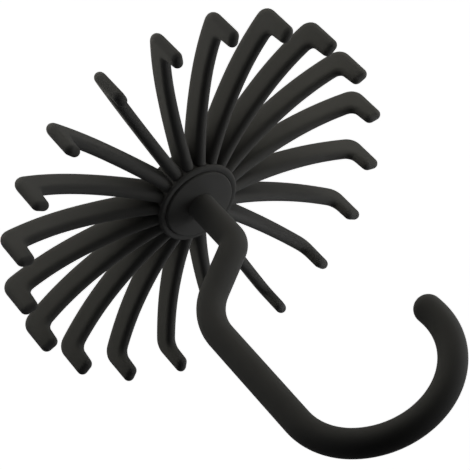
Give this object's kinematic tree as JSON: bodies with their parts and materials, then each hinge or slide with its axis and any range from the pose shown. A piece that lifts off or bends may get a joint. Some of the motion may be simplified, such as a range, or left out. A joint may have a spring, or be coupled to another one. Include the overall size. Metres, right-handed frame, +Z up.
{
  "type": "rotating closet hook",
  "caption": "Hanging rack with a J hook for a closet rod and a turning hub of radial arms with upturned lips for ties, belts and scarves.",
  "frame": {"origin": "on the swivel axis, at the inside of the hook's bend, where the hook sits on the closet rod", "axes": "+Z up along the swivel axis as hung; the hook lies in the XZ plane with its shank at +X and its tip at -X; the closet rod lies along Y"},
  "size_m": [0.148, 0.148, 0.1453],
  "materials": {
    "black_plastic": "fine matte black moulding, slightly warm, soft sheen",
    "washer_plastic": "natural white low-friction plastic",
    "steel": "zinc-plated steel"
  },
  "bodies": {
    "hook": {"hook": "black_plastic", "thrust_washer": "washer_plastic", "spindle_washer": "steel", "spindle_screw": "steel"},
    "hub": {"hub_top": "black_plastic", "hub_base": "black_plastic", "arm_01": "black_plastic", "arm_02": "black_plastic", "arm_03": "black_plastic", "arm_04": "black_plastic", "arm_05": "black_plastic", "arm_06": "black_plastic", "arm_07": "black_plastic", "arm_08": "black_plastic", "arm_09": "black_plastic", "arm_10": "black_plastic", "arm_11": "black_plastic", "arm_12": "black_plastic", "arm_13": "black_plastic", "arm_14": "black_plastic", "arm_15": "black_plastic", "arm_16": "black_plastic", "arm_17": "black_plastic", "arm_18": "black_plastic", "arm_19": "black_plastic", "arm_20": "black_plastic", "hub_screws": "steel", "bottom_cap": "black_plastic"}
  },
  "joints": [
    {"name": "hub_swivel", "type": "hinge", "parent": "hook", "child": "hub", "pos_m": [0, 0, -0.12199], "axis": [0, 0, 1], "continuous": true}
  ]
}
